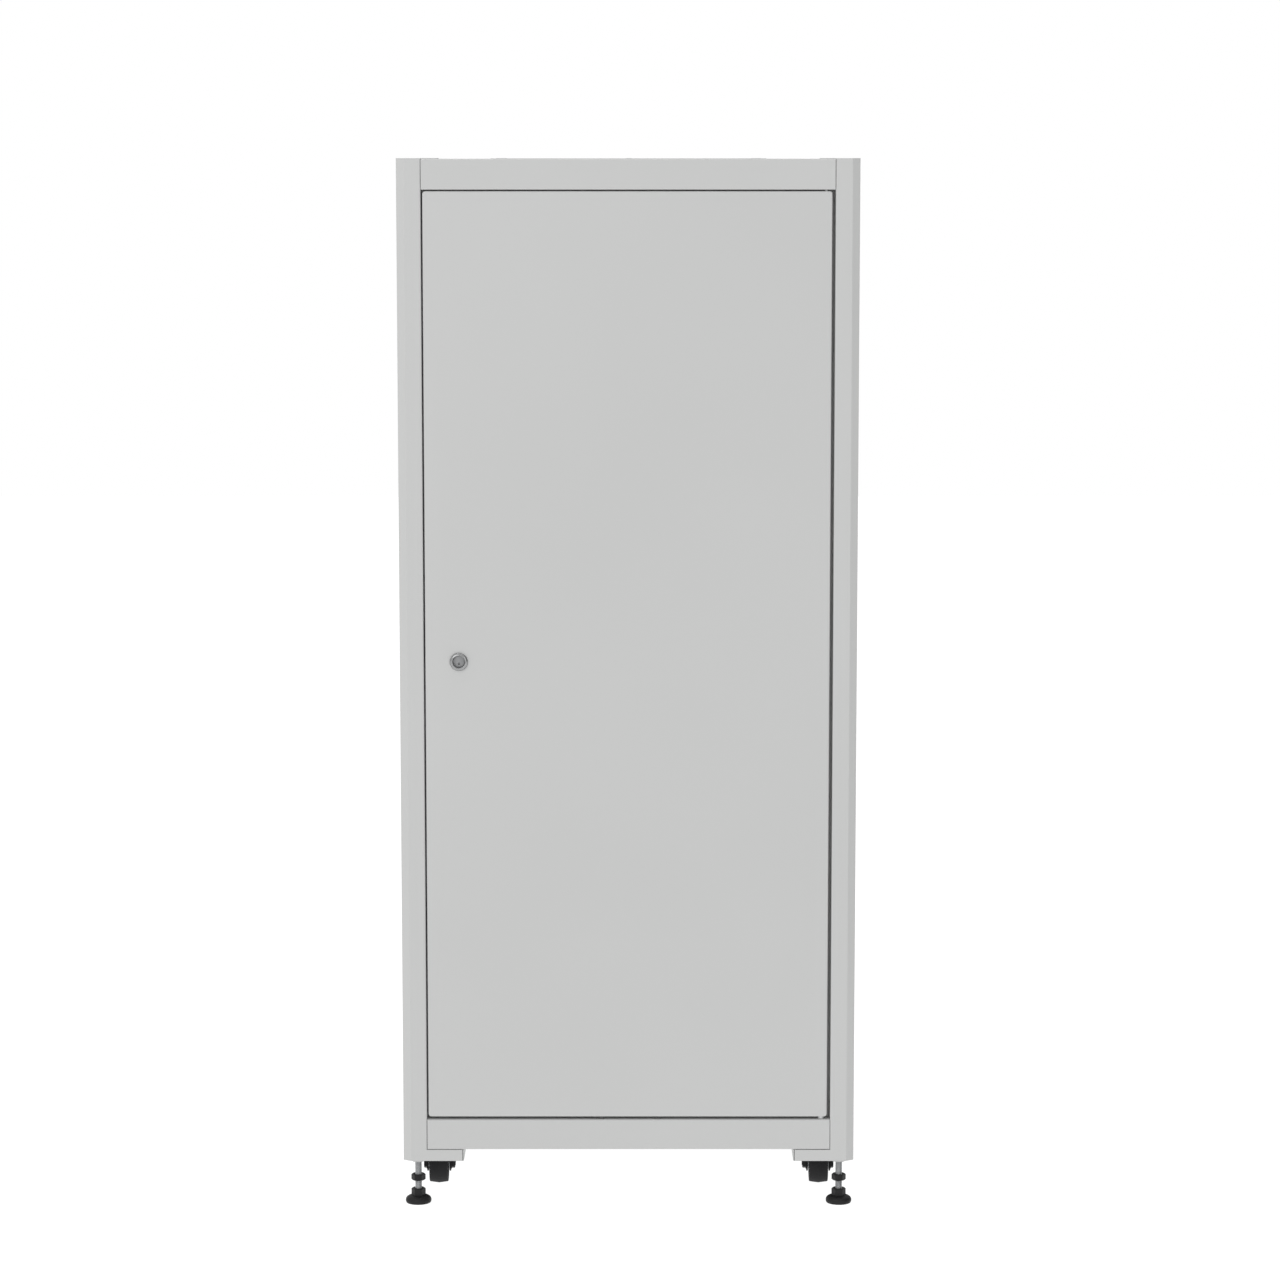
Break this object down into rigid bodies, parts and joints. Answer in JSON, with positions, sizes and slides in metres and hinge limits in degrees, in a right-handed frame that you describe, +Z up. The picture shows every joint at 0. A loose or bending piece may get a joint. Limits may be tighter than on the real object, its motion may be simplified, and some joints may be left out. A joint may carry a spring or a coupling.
{
  "type": "industrial switchboard cabinet",
  "caption": "Free-standing steel switchboard enclosure with a flush hinged front door, quarter-turn lock, castors and screw levelling feet.",
  "frame": {"origin": "on the floor, centred under the cabinet's outline", "axes": "+Z up, the door faces -Y, +X is to the right when facing the door (the hinge side)"},
  "size_m": [0.8, 0.605, 1.85],
  "materials": {
    "painted_sheet": "light grey fine-textured powder coat",
    "seal_foam": "matt black foamed seal",
    "black_plastic": "matt black nylon",
    "bright_pin": "turned bright steel",
    "lock_chrome": "satin chromed zinc casting",
    "lock_metal": "satin steel",
    "zinc": "zinc-plated",
    "black_steel": "black coated steel",
    "wheel_rubber": "black rubber",
    "galvanised_plate": "galvanised, fine spangle",
    "duct_plastic": "grey PVC",
    "copper_bar": "bright copper"
  },
  "bodies": {
    "frame": {"post_front_left": "painted_sheet", "post_front_right": "painted_sheet", "post_rear_left": "painted_sheet", "post_rear_right": "painted_sheet", "rail_front_top": "painted_sheet", "rail_rear_top": "painted_sheet", "rail_front_bottom": "painted_sheet", "rail_rear_bottom": "painted_sheet", "rail_left_top": "painted_sheet", "rail_right_top": "painted_sheet", "base_channel_left": "painted_sheet", "base_channel_right": "painted_sheet", "roof_panel": "painted_sheet", "roof_cover_plate": "painted_sheet", "floor_panel": "painted_sheet", "side_panel_left": "painted_sheet", "side_panel_right": "painted_sheet", "rear_panel": "painted_sheet", "hinge_pin_top": "bright_pin", "hinge_pin_bottom": "bright_pin", "castor_plate_front_left": "zinc", "castor_plate_front_right": "zinc", "castor_fork_rear_left": "black_steel", "castor_axle_rear_left": "black_steel", "castor_fork_rear_right": "black_steel", "castor_axle_rear_right": "black_steel", "mounting_plate": "galvanised_plate", "din_rail_upper": "galvanised_plate", "din_rail_lower": "galvanised_plate", "cable_duct": "duct_plastic", "earth_bar": "copper_bar"},
    "door": {"door_panel": "painted_sheet", "door_stiffener": "painted_sheet", "door_gasket": "seal_foam", "hinge_block_top": "black_plastic", "hinge_block_bottom": "black_plastic", "lock_housing": "lock_chrome", "lock_nut": "zinc"},
    "lock": {"lock_rotor": "lock_metal", "lock_cam": "zinc"},
    "swivel_front_left": {"castor_fork_front_left": "black_steel", "castor_axle_front_left": "black_steel"},
    "wheel_front_left": {"castor_wheel_front_left": "wheel_rubber"},
    "swivel_front_right": {"castor_fork_front_right": "black_steel", "castor_axle_front_right": "black_steel"},
    "wheel_front_right": {"castor_wheel_front_right": "wheel_rubber"},
    "wheel_rear_left": {"castor_wheel_rear_left": "wheel_rubber"},
    "wheel_rear_right": {"castor_wheel_rear_right": "wheel_rubber"},
    "foot_front_left": {"foot_stem_front_left": "zinc", "foot_pad_front_left": "black_plastic"},
    "locknut_front_left": {"foot_nut_front_left": "black_steel"},
    "foot_front_right": {"foot_stem_front_right": "zinc", "foot_pad_front_right": "black_plastic"},
    "locknut_front_right": {"foot_nut_front_right": "black_steel"},
    "foot_rear_left": {"foot_stem_rear_left": "zinc", "foot_pad_rear_left": "black_plastic"},
    "locknut_rear_left": {"foot_nut_rear_left": "black_steel"},
    "foot_rear_right": {"foot_stem_rear_right": "zinc", "foot_pad_rear_right": "black_plastic"},
    "locknut_rear_right": {"foot_nut_rear_right": "black_steel"}
  },
  "joints": [
    {"name": "door_hinge", "type": "hinge", "parent": "frame", "child": "door", "pos_m": [0.3414, -0.2875, 0.978], "axis": [0, 0, 1], "range_deg": [0, 110]},
    {"name": "lock_turn", "type": "hinge", "parent": "door", "child": "lock", "pos_m": [-0.2962, -0.2975, 0.9767], "axis": [0, 1, 0], "range_deg": [0, 90]},
    {"name": "swivel_front_left", "type": "hinge", "parent": "frame", "child": "swivel_front_left", "pos_m": [-0.343, -0.1455, 0.095], "axis": [0, 0, 1], "continuous": true},
    {"name": "wheel_spin_front_left", "type": "hinge", "parent": "swivel_front_left", "child": "wheel_front_left", "pos_m": [-0.343, -0.1705, 0.0458], "axis": [1, 0, 0], "continuous": true},
    {"name": "swivel_front_right", "type": "hinge", "parent": "frame", "child": "swivel_front_right", "pos_m": [0.343, -0.1455, 0.095], "axis": [0, 0, 1], "continuous": true},
    {"name": "wheel_spin_front_right", "type": "hinge", "parent": "swivel_front_right", "child": "wheel_front_right", "pos_m": [0.343, -0.1705, 0.0458], "axis": [1, 0, 0], "continuous": true},
    {"name": "wheel_spin_rear_left", "type": "hinge", "parent": "frame", "child": "wheel_rear_left", "pos_m": [-0.343, 0.1755, 0.0458], "axis": [1, 0, 0], "continuous": true},
    {"name": "wheel_spin_rear_right", "type": "hinge", "parent": "frame", "child": "wheel_rear_right", "pos_m": [0.343, 0.1755, 0.0458], "axis": [1, 0, 0], "continuous": true},
    {"name": "foot_height_front_left", "type": "slide", "parent": "frame", "child": "foot_front_left", "axis": [0, 0, -1], "range_m": [-0.012, 0.02]},
    {"name": "locknut_travel_front_left", "type": "slide", "parent": "foot_front_left", "child": "locknut_front_left", "axis": [0, 0, 1], "range_m": [-0.012, 0.011]},
    {"name": "foot_height_front_right", "type": "slide", "parent": "frame", "child": "foot_front_right", "axis": [0, 0, -1], "range_m": [-0.012, 0.02]},
    {"name": "locknut_travel_front_right", "type": "slide", "parent": "foot_front_right", "child": "locknut_front_right", "axis": [0, 0, 1], "range_m": [-0.012, 0.011]},
    {"name": "foot_height_rear_left", "type": "slide", "parent": "frame", "child": "foot_rear_left", "axis": [0, 0, -1], "range_m": [-0.012, 0.02]},
    {"name": "locknut_travel_rear_left", "type": "slide", "parent": "foot_rear_left", "child": "locknut_rear_left", "axis": [0, 0, 1], "range_m": [-0.012, 0.011]},
    {"name": "foot_height_rear_right", "type": "slide", "parent": "frame", "child": "foot_rear_right", "axis": [0, 0, -1], "range_m": [-0.012, 0.02]},
    {"name": "locknut_travel_rear_right", "type": "slide", "parent": "foot_rear_right", "child": "locknut_rear_right", "axis": [0, 0, 1], "range_m": [-0.012, 0.011]}
  ]
}
